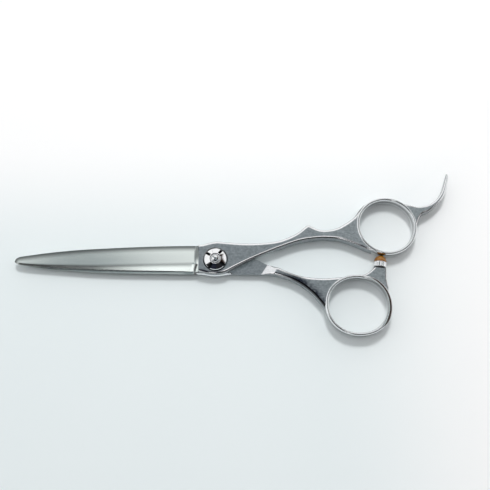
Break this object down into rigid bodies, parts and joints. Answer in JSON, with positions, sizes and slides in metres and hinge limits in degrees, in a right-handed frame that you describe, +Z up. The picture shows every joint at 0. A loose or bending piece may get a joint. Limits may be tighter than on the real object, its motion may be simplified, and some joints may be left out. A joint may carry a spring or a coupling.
{
  "type": "hair cutting shears",
  "caption": "Right-handed hair cutting shears with offset finger rings, a little-finger rest, a slotted tension dial and a rubber closing bumper.",
  "frame": {"origin": "on the pivot axis, at the bolt head's flat face, which rests on the table", "axes": "+X from the pivot to the rings, +Y to the finger ring's side, +Z up from the table, along the pivot axis"},
  "size_m": [0.1815, 0.0701, 0.007],
  "materials": {
    "blade_steel": "satin ground",
    "handle_steel": "brushed flats with polished edges",
    "polished_steel": "mirror polished",
    "plain_steel": "turned",
    "bronze": "turned",
    "slip_plastic": "smooth",
    "amber_rubber": "smooth, slightly see-through",
    "black_rubber": "matte"
  },
  "bodies": {
    "finger_half": {"still_blade": "blade_steel", "finger_shank": "handle_steel", "finger_ring": "polished_steel", "finger_rest": "handle_steel", "pivot_bush": "bronze"},
    "thumb_half": {"moving_blade": "blade_steel", "thumb_shank": "handle_steel", "thumb_ring": "polished_steel", "bumper_boss": "handle_steel", "bumper_washer": "black_rubber", "bumper_sleeve": "polished_steel", "bumper_tip": "amber_rubber", "bumper_stud": "plain_steel", "pivot_bolt": "plain_steel", "ride_washer": "slip_plastic", "spring_washer": "plain_steel", "click_plate": "plain_steel", "click_spring": "plain_steel", "dial_screw": "polished_steel"},
    "dial": {"tension_dial": "polished_steel"}
  },
  "joints": [
    {"name": "blade_pivot", "type": "hinge", "parent": "finger_half", "child": "thumb_half", "pos_m": [0, 0, 0.0028], "axis": [0, 0, -1], "range_deg": [0, 110]},
    {"name": "dial_turn", "type": "hinge", "parent": "thumb_half", "child": "dial", "pos_m": [0, 0, 0.0055], "axis": [0, 0, 1], "range_deg": [-90, 90]}
  ]
}
